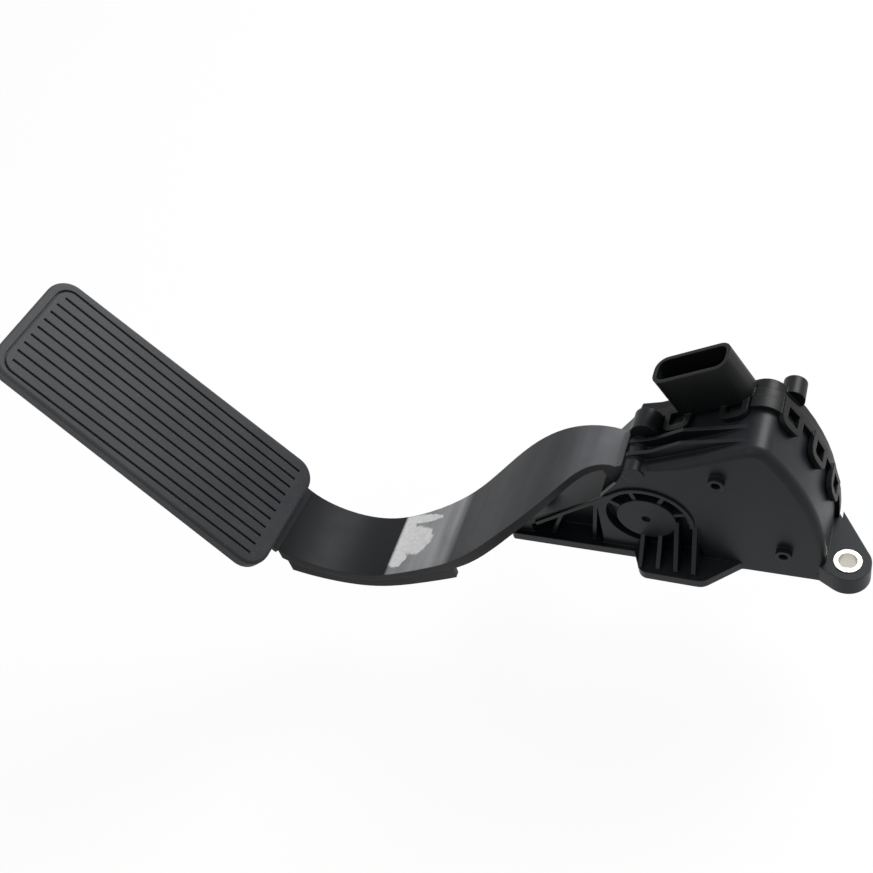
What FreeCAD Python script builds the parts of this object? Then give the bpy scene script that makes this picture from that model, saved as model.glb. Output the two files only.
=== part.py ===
import FreeCAD, Part
import math
import os

# Accelerator pedal module with a position sensor, sizes in millimetres.
# The mounting plane is z = 0. The origin lies on it straight under the pivot axis.
# +X runs up the bulkhead to the single fixing lug, +Y runs across the car along the
# pivot axis towards the sensor cover, and +Z points at the driver.

V = FreeCAD.Vector

# Pivot, shaft and bearings
PIVOT_Z = 24.3
SHAFT_R = 4.0
RUNNING_GAP = 0.05
BUSH_WALL = 1.6
BUSH_LENGTH = 4.6
HUB_GAP = 1.0
HUB_WIDTH = 11.6
AXIAL_GAP = 0.5

# Housing shell
SIDE_Y = -11.2
WALL = 2.5
CUP_RIM_Y = 12.0
BASE_T = 4.0
TOP_ANGLE = 26.3
TOP_START = (0.9, 52.7)
WALL_ARC_CENTRE = (-30.0, 12.0)
WALL_ARC_R = 94.8
CORNER_R = 7.0
SIDE_EDGE_R = 3.2
NECK_SIDE_X = -17.0
ROOF_END_Z = 33.4
TAIL_X = -57.0
TAIL_TIP_Z = 5.6
RIB_T = 1.6

# Bearing boss on the open side of the housing
RIM_R = 17.0
RIM_WALL = 1.5
DISC_R = 11.2
POCKET_DEPTH = 3.6
DISC_DIMPLE_R = 1.7
DISC_DIMPLE_DEPTH = 1.2

# Base plate and fixing lugs
BASE_FAR_Y = 21.0
BASE_NEAR_Y = -13.4
BULGE_Y = -21.8
LUG_T = 9.0
LUG_R = 8.3
LUG_SITES = [(72.0, -7.0), (30.0, 33.0), (-38.0, 28.0)]
SLEEVE_R = 5.0
SLEEVE_BORE_R = 3.4
SLEEVE_PROUD = 0.4

# Sensor cover and plug socket
SEAL_T = 0.8
SEAL_W = 1.6
COVER_DEPTH = 9.6
COVER_WALL = 2.2
COVER_LIP = 2.6
COVER_GAP = 0.4
SOCKET_T = 29.2
SOCKET_Y = 16.8
SOCKET_LENGTH = 29.0
SOCKET_WIDTH = 12.6
SOCKET_WALL = 1.5
SOCKET_TOP = 24.0
SOCKET_FLOOR = 10.0
PIN_PITCH = 3.6
PIN_COUNT = 6
PIN_W = 1.4
PIN_T = 0.7
PIN_BELOW_RIM = 4.0
HOOK_W = 11.0
HOOK_REACH = 8.5
HOOK_T = 2.0
HOOK_LEG = 2.4
HOOK_GAP = 0.35
CATCH_GAP = 0.4
TOP_HOOKS = [11.0, 34.0]
SIDE_HOOK_ANGLES = [34.0, 23.0, 12.0]
POST_R = 4.4
POST_SITE = (47.5, 63.5)
POST_REACH = 5.5

# Circuit board and rotor
BOARD_T = 1.6
BOARD_SET_IN = 0.6
STAKE_R = 2.0
STAKE_SITES = [(-9.0, 12.0), (40.0, 40.0), (34.0, 16.0)]
CHIP_SITES = [(-10.2, 27.0), (10.5, 14.5)]
CHIP_SIZE = (3.2, 4.0, 1.5)
CAPACITOR_SITES = [(14.0, 43.0), (20.0, 46.0), (25.0, 48.5), (30.0, 51.0)]
CAPACITOR_SIZE = (2.0, 1.3, 1.1)
ROTOR_T = 1.8
ROTOR_INSET = 0.5
ROTOR_BORE_R = 8.8
LOOP_T = 0.2
LOBES = 3

# Arm: line of its tread side seen across the car, and its two edges seen from the driver
ARM_LINE = [(-8.6, 49.6), (-20.0, 51.0), (-33.0, 48.6), (-47.0, 40.4), (-70.0, 19.6), (-92.0, 7.0),
            (-111.0, 2.4), (-127.0, 7.0), (-142.0, 23.0)]
ARM_FAR_EDGE = [(-8.0, 9.0), (-26.0, 8.8), (-48.0, 3.6), (-70.0, -5.0), (-102.0, -13.0), (-142.0, -18.6)]
ARM_NEAR_EDGE = [(-8.0, -8.2), (-19.0, -10.5), (-33.0, -27.0), (-50.0, -38.6), (-78.0, -40.6),
                 (-110.0, -43.4), (-142.0, -50.0)]
ARM_T = 3.4
ARM_RIB_DEPTH = 7.6
ARM_RIB_SHALLOW = 2.4
ARM_RIB_T = 2.4
ARM_RIB_PITCH = 17.0
ARM_DEEP_X = -72.0
NECK_T = 8.6
NECK_W = 16.4

# Pad on the end of the arm
PAD_ROOT = (-139.0, -39.5, 28.2)
PAD_ANGLE = 130.0
PAD_YAW = 4.4
PAD_LENGTH = 128.2
PAD_ROOT_W = 53.7
PAD_TIP_W = 48.9
PAD_T = 5.6
PAD_CORNER_R = 9.0
PAD_EDGE_R = 1.4
GROOVES = 11
GROOVE_PITCH = 4.3
GROOVE_W = 1.0
GROOVE_DEPTH = 1.1
GROOVE_BORDER = 3.4
ROOT_BORDER = 7.0
FOOT_T = 3.0
FOOT_INSET = 4.0
KNOB_R = 2.6
KNOB_HEAD_R = 3.6
KNOB_HEAD_T = 1.6
KNOB_GAP = 0.1

# Springs and friction shoe
SPRING_SITE = (25.0, 1.0)
SPRING_LOW_Z = 29.6
SPRING_HIGH_Z = 56.0
SEAT_GAP = 0.1
OUTER_COIL_R = 7.2
OUTER_WIRE_R = 0.8
OUTER_TURNS = 5
INNER_COIL_R = 4.6
INNER_WIRE_R = 0.65
INNER_TURNS = 6
COIL_STEPS = 16
WIRE_SIDES = 6
NOSE_R = 36.0
SHOE_T = 4.7
SHOE_GAP = 0.3
SHOE_SPAN = (-9.0, 9.0)
TRACK_SPAN = (-24.0, 27.0)
TRACK_T = 2.4

# Rubber stops
IDLE_STOP_R = 4.0
IDLE_STOP_SITE = (-2.5, 50.6)
IDLE_GAP = 0.4
BUFFER_R = 4.6
BUFFER_X = -44.0
BUFFER_Y = 0.0
BUFFER_H = 4.4


def rounded(points):
    """Closed wire in the XY plane through (x, y, corner radius) points."""
    edges = []
    count = len(points)
    trims = []
    for i in range(count):
        x, y, r = points[i]
        here = V(x, y, 0)
        back = (V(points[i - 1][0], points[i - 1][1], 0) - here).normalize()
        on = (V(points[(i + 1) % count][0], points[(i + 1) % count][1], 0) - here).normalize()
        if r <= 0:
            trims.append((here, None, here))
            continue
        half = back.getAngle(on) / 2
        reach = r / math.tan(half)
        bisector = (back + on).normalize()
        middle = here + bisector * (r / math.sin(half) - r)
        trims.append((here + back * reach, middle, here + on * reach))
    for i in range(count):
        start, middle, end = trims[i]
        if middle is not None:
            edges.append(Part.Arc(start, middle, end).toShape())
        following = trims[(i + 1) % count][0]
        if end.distanceToPoint(following) > 1e-6:
            edges.append(Part.LineSegment(end, following).toShape())
    return Part.Wire(edges)


def sharp(points):
    """Closed straight-sided wire in the XY plane."""
    return rounded([(x, y, 0) for x, y in points])


def prism_z(wire, low, high):
    """Wire of the XY plane raised between two heights."""
    face = Part.Face(wire)
    face.translate(V(0, 0, low))
    return face.extrude(V(0, 0, high - low))


def prism_y(wire, low, high):
    """Wire drawn as (x, z) and stretched along Y between two places."""
    body = prism_z(wire, -high, -low)
    body.rotate(V(0, 0, 0), V(1, 0, 0), 90)
    return body


def box(low, high):
    size = V(*high) - V(*low)
    return Part.makeBox(size.x, size.y, size.z, V(*low))


def rod_y(x, z, r, low, high):
    return Part.makeCylinder(r, high - low, V(x, low, z), V(0, 1, 0))


def rod_z(x, y, r, low, high):
    return Part.makeCylinder(r, high - low, V(x, y, low), V(0, 0, 1))


def ring_y(x, z, outer, inner, low, high):
    return rod_y(x, z, outer, low, high).cut(rod_y(x, z, inner, low - 1, high + 1))


def sector(inner, outer, span, low, high):
    """Ring segment about the pivot between two angles, in degrees from +X towards +Z."""
    first, last = [math.radians(a) for a in span]
    middle = (first + last) / 2

    def at(r, a):
        return V(r * math.cos(a), PIVOT_Z + r * math.sin(a), 0)

    wire = Part.Wire([
        Part.Arc(at(outer, first), at(outer, middle), at(outer, last)).toShape(),
        Part.LineSegment(at(outer, last), at(inner, last)).toShape(),
        Part.Arc(at(inner, last), at(inner, middle), at(inner, first)).toShape(),
        Part.LineSegment(at(inner, first), at(outer, first)).toShape(),
    ])
    return prism_y(wire, low, high)


def fused(first, others):
    return first.multiFuse(others).removeSplitter()


def save(name, shape):
    if shape.ShapeType == "Compound" and len(shape.Solids) == 1:
        shape = shape.Solids[0]
    shape.exportStep("parts/" + name + ".step")
    print(name, "valid", shape.isValid(), "solids", len(shape.Solids), "cm3", round(shape.Volume / 1000, 2))


# Directions of the sloping top wall: along it, and out of it
TOP_SIN = math.sin(math.radians(TOP_ANGLE))
TOP_COS = math.cos(math.radians(TOP_ANGLE))


def top_point(along, out):
    """(x, z) of a place measured along the top wall and out from its outer face."""
    x = TOP_START[0] + along * TOP_COS - out * TOP_SIN
    z = TOP_START[1] + along * TOP_SIN + out * TOP_COS
    return x, z


def wall_point(angle, out):
    """(x, z) of a place on the curved wall, at an angle about the wall's own centre."""
    r = WALL_ARC_R + out
    a = math.radians(angle)
    return WALL_ARC_CENTRE[0] + r * math.cos(a), WALL_ARC_CENTRE[1] + r * math.sin(a)


def wall_x(z, out):
    """x of the curved wall at a height, moved out by a distance."""
    r = WALL_ARC_R + out
    return WALL_ARC_CENTRE[0] + math.sqrt(r * r - (z - WALL_ARC_CENTRE[1]) ** 2)


def top_length(out):
    """Length of the top wall up to the curved wall, both moved out by a distance."""
    ox = TOP_START[0] - out * TOP_SIN - WALL_ARC_CENTRE[0]
    oz = TOP_START[1] + out * TOP_COS - WALL_ARC_CENTRE[1]
    b = ox * TOP_COS + oz * TOP_SIN
    c = ox * ox + oz * oz - (WALL_ARC_R + out) ** 2
    return -b + math.sqrt(b * b - c)


def drum_wire(out, low, left):
    """Outline of the drum-shaped part, moved out by a distance; left is its list of left points."""
    start = V(*top_point(0, out), 0)
    corner = V(*top_point(top_length(out), out), 0)
    foot = V(wall_x(low, out), low, 0)
    rise = math.degrees(math.atan2(corner.y - WALL_ARC_CENTRE[1], corner.x - WALL_ARC_CENTRE[0]))
    sink = math.degrees(math.atan2(low - WALL_ARC_CENTRE[1], foot.x - WALL_ARC_CENTRE[0]))
    middle = V(*wall_point((rise + sink) / 2, out), 0)
    edges = [Part.LineSegment(start, corner).toShape(), Part.Arc(corner, middle, foot).toShape()]
    path = [foot] + [V(x, z, 0) for x, z in left] + [start]
    for first, second in zip(path, path[1:]):
        edges.append(Part.LineSegment(first, second).toShape())
    return Part.Wire(edges)


def soften(body, radius, chosen):
    """Round the edges whose middle point passes the test."""
    edges = []
    for edge in body.Edges:
        low, high = edge.ParameterRange
        if chosen(edge, edge.valueAt((low + high) / 2)):
            edges.append(edge)
    return body.makeFillet(radius, edges)


def along_y(edge):
    ends = [v.Point for v in edge.Vertexes]
    return len(ends) == 2 and abs(ends[0].x - ends[1].x) + abs(ends[0].z - ends[1].z) < 1e-6


def in_top_frame(body):
    """Move a body drawn along X, Y and up Z so that it stands on the top wall."""
    body.rotate(V(0, 0, 0), V(0, 1, 0), -TOP_ANGLE)
    body.translate(V(TOP_START[0], 0, TOP_START[1]))
    return body


def in_wall_frame(body, angle):
    """Move a body drawn along X, Y and up Z so that it stands on the curved wall."""
    x, z = wall_point(angle, 0)
    body.rotate(V(0, 0, 0), V(0, 1, 0), 90 - angle)
    body.translate(V(x, 0, z))
    return body


def stadium(length, width, low, high):
    """Bar with half-round ends, its middle on the Z axis."""
    x, y = length / 2, width / 2
    r = width / 2 - 0.01
    return prism_z(rounded([(-x, -y, r), (x, -y, r), (x, y, r), (-x, y, r)]), low, high)


COVER_Y = CUP_RIM_Y + SEAL_T
COVER_FAR_Y = COVER_Y + COVER_DEPTH
COVER_INNER_Y = COVER_FAR_Y - COVER_WALL
COVER_LOW_Z = BASE_T + COVER_GAP
BUSH_R = SHAFT_R + RUNNING_GAP + BUSH_WALL
BEARING_R = BUSH_R + 2.4
POCKET_Y = SIDE_Y + POCKET_DEPTH
HUB_R = -(NECK_SIDE_X + WALL) - HUB_GAP
HUB_NEAR_Y = POCKET_Y + WALL + AXIAL_GAP
HUB_FAR_Y = HUB_NEAR_Y + HUB_WIDTH
ROTOR_R = HUB_R - ROTOR_INSET
FAR_BEARING_Y = HUB_FAR_Y + ROTOR_T + LOOP_T + AXIAL_GAP
BOARD_Y = COVER_Y + BOARD_SET_IN
SHOE_R = NOSE_R + SHOE_T
STOP_REACH = math.hypot(IDLE_STOP_SITE[0], IDLE_STOP_SITE[1] - PIVOT_Z)
STOP_ANGLE = math.degrees(math.atan2(IDLE_STOP_SITE[1] - PIVOT_Z, IDLE_STOP_SITE[0]))
NECK_ANGLE = STOP_ANGLE + math.degrees(math.asin((IDLE_STOP_R + IDLE_GAP + NECK_T / 2) / STOP_REACH))
LEFT_POINTS = [(NECK_SIDE_X, 0), (NECK_SIDE_X, ROOF_END_Z), (-9.5, 43.6), (-6.4, 50.6)]


# Housing
def housing_shell():
    """Cup that is open towards the cover, with the tail wedge and the way out for the arm."""
    block = prism_y(drum_wire(0, 0, LEFT_POINTS), SIDE_Y, CUP_RIM_Y)
    corner_x = top_point(top_length(0), 0)[0]
    block = soften(block, CORNER_R, lambda e, p: along_y(e) and abs(p.x - corner_x) < 0.01)
    block = soften(block, SIDE_EDGE_R,
                   lambda e, p: abs(p.y - SIDE_Y) < 0.01 and p.x > 5 and p.z > BASE_T + 2)
    inner_left = NECK_SIDE_X + WALL
    open_top = TOP_START[1] + 12
    way_out = [(inner_left, BASE_T), (inner_left, ROOF_END_Z), (NECK_SIDE_X - 20, ROOF_END_Z),
               (NECK_SIDE_X - 20, open_top), top_point(0, 6)]
    cavity = prism_y(drum_wire(-WALL, BASE_T, way_out), SIDE_Y + WALL, CUP_RIM_Y + 1)
    shell = block.cut(cavity)
    tail = prism_y(sharp([(TAIL_X, 0), (TAIL_X, TAIL_TIP_Z), (NECK_SIDE_X, ROOF_END_Z), (inner_left, ROOF_END_Z),
                          (inner_left, 0)]), SIDE_Y, CUP_RIM_Y)
    return fused(shell, [tail])


def tail_pocket(low, high):
    """Wedge-shaped hollow in one side of the tail, inside its border ribs."""
    slope = (ROOF_END_Z - TAIL_TIP_Z) / (NECK_SIDE_X - TAIL_X)
    tip = TAIL_X + 9.0
    roof = 3.0
    end = NECK_SIDE_X - RIB_T
    return prism_y(rounded([(tip, BASE_T, 1.0), (end, BASE_T, 1.0),
                            (end, TAIL_TIP_Z + slope * (end - TAIL_X) - roof, 1.5),
                            (tip, TAIL_TIP_Z + slope * (tip - TAIL_X) - roof, 1.0)]), low, high)


def base_plate():
    plate = prism_z(rounded([
        (TAIL_X, BASE_NEAR_Y, 1.5), (-3.0, BASE_NEAR_Y, 3.0), (2.5, BULGE_Y, 4.0), (20.0, BULGE_Y, 6.0),
        (34.0, SIDE_Y, 6.0), (66.0, SIDE_Y, 0), (66.0, BASE_FAR_Y, 3.0), (TAIL_X, BASE_FAR_Y, 3.0)]), 0, BASE_T)
    lugs = []
    for x, y in LUG_SITES:
        lugs.append(rod_z(x, y, LUG_R, 0, LUG_T))
    side_x, side_y = LUG_SITES[0]
    lugs.append(prism_z(sharp([(62.5, SIDE_Y), (side_x - 4, side_y - LUG_R + 1.0), (side_x, side_y - LUG_R),
                               (side_x + LUG_R, side_y), (side_x + LUG_R * 0.86, side_y + LUG_R * 0.5),
                               (64.0, BASE_FAR_Y), (62.5, BASE_FAR_Y)]), 0, LUG_T))
    for x, y in LUG_SITES[1:]:
        lugs.append(box((x - LUG_R, BASE_FAR_Y - 6, 0), (x + LUG_R, y, LUG_T)))
    room = prism_y(drum_wire(COVER_LIP + COVER_GAP, BASE_T, LEFT_POINTS), CUP_RIM_Y, COVER_FAR_Y + COVER_GAP)
    return plate, [lug.cut(room) for lug in lugs]


def bearing_side():
    """Round rim, disc, spokes and foot gussets on the open side of the bearing."""
    pocket = rod_y(0, PIVOT_Z, RIM_R - RIM_WALL, SIDE_Y - 1, POCKET_Y)
    lower = prism_y(sharp([(-3.0, BASE_T), (20.5, BASE_T), (17.0, PIVOT_Z), (-3.0, PIVOT_Z)]), SIDE_Y - 1, POCKET_Y)
    cut = pocket.fuse(lower)
    floor = rod_y(0, PIVOT_Z, RIM_R, POCKET_Y, POCKET_Y + WALL)
    adds = [floor, rod_y(0, PIVOT_Z, DISC_R, SIDE_Y - 0.4, POCKET_Y + 1)]
    for angle in (20, 62, 108, 150):
        spoke = box((DISC_R - 1, SIDE_Y, -RIB_T / 2), (RIM_R - 0.5, POCKET_Y + 0.5, RIB_T / 2))
        spoke.rotate(V(0, 0, 0), V(0, 1, 0), -angle)
        spoke.translate(V(0, 0, PIVOT_Z))
        adds.append(spoke)
    for x in (-2.2, 4.6, 11.4, 18.2):
        top = PIVOT_Z - math.sqrt(max(DISC_R ** 2 - x * x, 0)) + 1 if abs(x) < DISC_R else PIVOT_Z
        gusset = Part.Face(sharp([(POCKET_Y + 0.5, BASE_T - 0.5), (BULGE_Y + 1.2, BASE_T - 0.5), (BULGE_Y + 1.2, BASE_T + 1.5),
                                  (SIDE_Y, top), (POCKET_Y + 0.5, top)]))
        gusset.rotate(V(0, 0, 0), V(1, 1, 1), 120)
        gusset.translate(V(x - RIB_T / 2, 0, 0))
        adds.append(gusset.extrude(V(RIB_T, 0, 0)))
    return cut, adds


def top_ribs():
    """Two stiffening ribs on the sloping wall and the stepped boss at its lower end."""
    adds = []
    for y in (-5.2, 0.8):
        rib = prism_y(sharp([top_point(-5.5, -3.0), top_point(-5.5, 4.6), top_point(4.5, 3.6), top_point(17.0, 4.8),
                             top_point(40.0, 0.0), top_point(38.0, -1.0)]), y - RIB_T / 2, y + RIB_T / 2)
        adds.append(rib)
    x, z = IDLE_STOP_SITE
    adds.append(rod_y(x, z, IDLE_STOP_R, SIDE_Y - 0.6, CUP_RIM_Y))
    adds.append(rod_y(x + 1.4, z + 5.0, 5.4, 3.4, CUP_RIM_Y))
    adds.append(prism_y(sharp([(x - 2, z), (x + 3.6, z + 9), top_point(4.0, -1.0), top_point(4.0, -WALL)]), 3.4, CUP_RIM_Y))
    adds.append(prism_y(sharp([(x, z - IDLE_STOP_R), (x, z + 2), top_point(2.0, 0), top_point(2.0, -WALL)]),
                        SIDE_Y, CUP_RIM_Y))
    return adds


def side_bosses():
    """Two short hollow pegs on the flat side."""
    adds, cuts = [], []
    for x, z in ((27.5, 53.0), (50.2, 15.4)):
        adds.append(rod_y(x, z, 3.0, SIDE_Y - 2.4, SIDE_Y + 1))
        cuts.append(rod_y(x, z, 1.7, SIDE_Y - 3.4, SIDE_Y + 0.4))
    return adds, cuts


def spring_post():
    """Upper seat of the return springs, hanging from the top wall."""
    x, y = SPRING_SITE
    post = rod_z(x, y, OUTER_COIL_R + 1.6, SPRING_HIGH_Z, TOP_START[1] + 30)
    pilot = rod_z(x, y, INNER_COIL_R - INNER_WIRE_R - 0.4, SPRING_HIGH_Z - 6, TOP_START[1] + 30)
    room = prism_y(drum_wire(-1.0, BASE_T, LEFT_POINTS[1:]), SIDE_Y + 1, CUP_RIM_Y)
    return post.fuse(pilot).common(room)


def friction_track():
    """Curved rib that the friction shoe runs along, with webs to the outer wall."""
    inner = SHOE_R + SHOE_GAP
    low = SIDE_Y + WALL - 0.5
    track = [sector(inner, inner + TRACK_T, TRACK_SPAN, low, CUP_RIM_Y - 2)]
    room = prism_y(drum_wire(-1.0, BASE_T, LEFT_POINTS[1:]), SIDE_Y + 1, CUP_RIM_Y)
    for angle in (TRACK_SPAN[0] + 2, 1.0, TRACK_SPAN[1] - 2):
        web = sector(inner + TRACK_T - 0.5, inner + 30, (angle - 1.1, angle + 1.1), low, CUP_RIM_Y - 2)
        track.append(web.common(room))
    return track


def catch():
    """Wedge that a cover hook snaps over, drawn on a flat wall with its slope towards the cover."""
    wedge = Part.Face(sharp([(0, -1.0), (3.6, -1.0), (3.6, 0.4), (0.0, 1.7)]))
    wedge.rotate(V(0, 0, 0), V(1, 1, 1), 120)
    solid = wedge.extrude(V(HOOK_W - 2 * HOOK_LEG - 2 * CATCH_GAP, 0, 0))
    solid.translate(V(-(HOOK_W - 2 * HOOK_LEG) / 2 + CATCH_GAP, COVER_Y - HOOK_REACH + HOOK_LEG + CATCH_GAP, 0))
    return solid


def place_hooks(make):
    """One copy of a piece at every hook site."""
    placed = []
    for along in TOP_HOOKS:
        body = make()
        body.translate(V(along, 0, 0))
        placed.append(in_top_frame(body))
    for angle in SIDE_HOOK_ANGLES:
        placed.append(in_wall_frame(make(), angle))
    return placed


def make_housing():
    body = housing_shell()
    plate, lugs = base_plate()
    cut, bearing = bearing_side()
    bosses, boss_holes = side_bosses()
    body = body.cut(tail_pocket(SIDE_Y - 1, SIDE_Y + 7)).cut(tail_pocket(CUP_RIM_Y - 8, CUP_RIM_Y + 1)).cut(cut)
    room = prism_y(sharp([(NECK_SIDE_X, BASE_T - 1), (NECK_SIDE_X, PIVOT_Z), (60, PIVOT_Z), (60, BASE_T - 1)]),
                   POCKET_Y, POCKET_Y + WALL)
    back = room.common(prism_y(sharp([(-5.0, 0), (23.0, 0), (19.0, PIVOT_Z), (-5.0, PIVOT_Z)]), SIDE_Y, CUP_RIM_Y))
    tail_ribs = []
    for foot, head in ((-41.0, -34.0), (-24.0, -20.0)):
        slope = (ROOF_END_Z - TAIL_TIP_Z) / (NECK_SIDE_X - TAIL_X)
        top = TAIL_TIP_Z + slope * (head - TAIL_X) - 1
        tail_ribs.append(prism_y(sharp([(foot, BASE_T - 1), (foot + RIB_T, BASE_T - 1), (head + RIB_T, top),
                                        (head, top)]), SIDE_Y + 1.2, SIDE_Y + 8))
    for piece in ([plate, back] + lugs + bearing + bosses + top_ribs() + tail_ribs + [spring_post()]
                  + friction_track() + place_hooks(catch)):
        body = body.fuse(piece)
    near_bearing = rod_y(0, PIVOT_Z, BEARING_R, SIDE_Y - 0.4, HUB_NEAR_Y - AXIAL_GAP)
    body = body.fuse(near_bearing)
    for tool in boss_holes:
        body = body.cut(tool)
    for x, y in LUG_SITES:
        body = body.cut(rod_z(x, y, SLEEVE_R, -1, LUG_T + 1))
    body = body.cut(rod_y(0, PIVOT_Z, BUSH_R, HUB_NEAR_Y - AXIAL_GAP - BUSH_LENGTH, HUB_NEAR_Y))
    return body.cut(rod_y(0, PIVOT_Z, DISC_DIMPLE_R, SIDE_Y - 1, SIDE_Y - 0.4 + DISC_DIMPLE_DEPTH))


# Cover with its hooks and plug socket
def hook():
    """Loop that reaches over the housing wall, drawn on a flat wall."""
    loop = prism_z(rounded([(-HOOK_W / 2, COVER_Y - HOOK_REACH, 3.5), (HOOK_W / 2, COVER_Y - HOOK_REACH, 3.5),
                            (HOOK_W / 2, COVER_Y + 2, 0), (-HOOK_W / 2, COVER_Y + 2, 0)]), HOOK_GAP, HOOK_GAP + HOOK_T)
    window = prism_z(rounded([(-HOOK_W / 2 + HOOK_LEG, COVER_Y - HOOK_REACH + HOOK_LEG, 1.2),
                              (HOOK_W / 2 - HOOK_LEG, COVER_Y - HOOK_REACH + HOOK_LEG, 1.2),
                              (HOOK_W / 2 - HOOK_LEG, COVER_Y, 0), (-HOOK_W / 2 + HOOK_LEG, COVER_Y, 0)]), -1, HOOK_T + 2)
    return loop.cut(window)


def pins():
    """Flat terminals of the socket, each with a foot bent down onto the board."""
    made = []
    for i in range(PIN_COUNT):
        along = SOCKET_T + (i - (PIN_COUNT - 1) / 2) * PIN_PITCH
        blade = box((along - PIN_W / 2, SOCKET_Y - PIN_T / 2, -8.0), (along + PIN_W / 2, SOCKET_Y + PIN_T / 2, SOCKET_TOP - PIN_BELOW_RIM))
        foot = box((along - PIN_W / 2, BOARD_Y + BOARD_T, -8.0), (along + PIN_W / 2, SOCKET_Y + PIN_T / 2, -8.0 + PIN_T))
        made.append(in_top_frame(blade.fuse(foot).removeSplitter()))
    return made


def make_cover():
    left = [(NECK_SIDE_X, COVER_LOW_Z), (NECK_SIDE_X, ROOF_END_Z), (-9.5, 43.6), (-6.4, 50.6)]
    inner_left = [(NECK_SIDE_X + COVER_WALL, COVER_LOW_Z + COVER_WALL), (NECK_SIDE_X + COVER_WALL, ROOF_END_Z - 1),
                  (-7.0, 43.0), (-4.2, 49.0)]
    outer = prism_y(drum_wire(0, COVER_LOW_Z, left), COVER_Y, COVER_FAR_Y)
    inner = prism_y(drum_wire(-COVER_WALL, COVER_LOW_Z + COVER_WALL, inner_left), COVER_Y - 1, COVER_INNER_Y)
    flange = prism_y(drum_wire(COVER_LIP, COVER_LOW_Z, left), COVER_Y, COVER_Y + 4.0)
    flange = flange.cut(prism_y(drum_wire(-0.5, COVER_LOW_Z - 1, left), COVER_Y - 1, COVER_Y + 5.0))
    corner_x = top_point(top_length(0), 0)[0]
    outer = soften(outer, CORNER_R, lambda e, p: along_y(e) and abs(p.x - corner_x) < 0.01)
    flange_x = top_point(top_length(COVER_LIP), COVER_LIP)[0]
    flange = soften(flange, CORNER_R + COVER_LIP, lambda e, p: along_y(e) and abs(p.x - flange_x) < 0.01)
    body = outer.cut(inner).fuse(flange)
    bearing = rod_y(0, PIVOT_Z, BEARING_R, FAR_BEARING_Y, COVER_FAR_Y)
    post = rod_y(POST_SITE[0], POST_SITE[1], POST_R, COVER_FAR_Y - 2, COVER_FAR_Y + POST_REACH)
    stakes = [rod_y(x, z, STAKE_R, BOARD_Y + BOARD_T, COVER_FAR_Y - 1) for x, z in STAKE_SITES]
    socket = stadium(SOCKET_LENGTH, SOCKET_WIDTH, -COVER_WALL, SOCKET_TOP)
    socket.translate(V(SOCKET_T, SOCKET_Y, 0))
    socket = socket.cut(box((0, 0, -10), (60, COVER_Y, 3.2)))
    hollow = stadium(SOCKET_LENGTH - 2 * SOCKET_WALL, SOCKET_WIDTH - 2 * SOCKET_WALL, SOCKET_FLOOR, SOCKET_TOP + 1)
    hollow.translate(V(SOCKET_T, SOCKET_Y, 0))
    keys = []
    for along in (-6.5, 6.5):
        key = box((SOCKET_T + along - 0.8, SOCKET_Y + SOCKET_WIDTH / 2 - SOCKET_WALL - 1.0, SOCKET_FLOOR - 1),
                  (SOCKET_T + along + 0.8, SOCKET_Y + SOCKET_WIDTH / 2 - 0.5, SOCKET_TOP - 1.5))
        keys.append(in_top_frame(key))
    latch = Part.Face(sharp([(SOCKET_Y + SOCKET_WIDTH / 2 - 0.5, SOCKET_TOP - 7), (SOCKET_Y + SOCKET_WIDTH / 2 + 1.4, SOCKET_TOP - 7),
                             (SOCKET_Y + SOCKET_WIDTH / 2 - 0.5, SOCKET_TOP - 1.5)]))
    latch.rotate(V(0, 0, 0), V(1, 1, 1), 120)
    latch.translate(V(SOCKET_T - 3, 0, 0))
    latch = in_top_frame(latch.extrude(V(6, 0, 0)))
    body = fused(body, [bearing, post, in_top_frame(socket.cut(hollow)), latch] + keys + stakes + place_hooks(hook))
    body = body.cut(rod_y(0, PIVOT_Z, BUSH_R, FAR_BEARING_Y - 1, FAR_BEARING_Y + BUSH_LENGTH))
    for pin in pins():
        body = body.cut(pin)
    return body.removeSplitter()


def make_seal():
    left = [(NECK_SIDE_X + 0.4, COVER_LOW_Z + 0.4), (NECK_SIDE_X + 0.4, ROOF_END_Z), (-9.2, 43.6), (-6.0, 50.4)]
    inner_left = [(NECK_SIDE_X + SEAL_W + 0.4, COVER_LOW_Z + SEAL_W), (NECK_SIDE_X + SEAL_W + 0.4, ROOF_END_Z - 1),
                  (-7.4, 43.2), (-4.4, 49.4)]
    ring = prism_y(drum_wire(-0.4, COVER_LOW_Z + 0.4, left), CUP_RIM_Y, COVER_Y)
    return ring.cut(prism_y(drum_wire(-0.4 - SEAL_W, COVER_LOW_Z + SEAL_W, inner_left), CUP_RIM_Y - 1, COVER_Y + 1))


def make_board():
    disc = rod_y(0, PIVOT_Z, 13.5, BOARD_Y, BOARD_Y + BOARD_T)
    neck = prism_y(sharp([(-12.0, 10.0), (38.0, 10.0), (45.0, 40.0), top_point(42.0, -5.5), top_point(14.0, -5.5),
                          (-6.0, 36.0), (-12.0, 30.0)]), BOARD_Y, BOARD_Y + BOARD_T)
    return fused(disc, [neck]).cut(rod_y(0, PIVOT_Z, BEARING_R + 0.5, BOARD_Y - 1, BOARD_Y + BOARD_T + 1))


def board_parts(sites, size):
    """Small boxes standing on the cover side of the board."""
    made = []
    for x, z in sites:
        made.append(box((x - size[0] / 2, BOARD_Y + BOARD_T, z - size[1] / 2),
                        (x + size[0] / 2, BOARD_Y + BOARD_T + size[2], z + size[1] / 2)))
    return Part.makeCompound(made)


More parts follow.
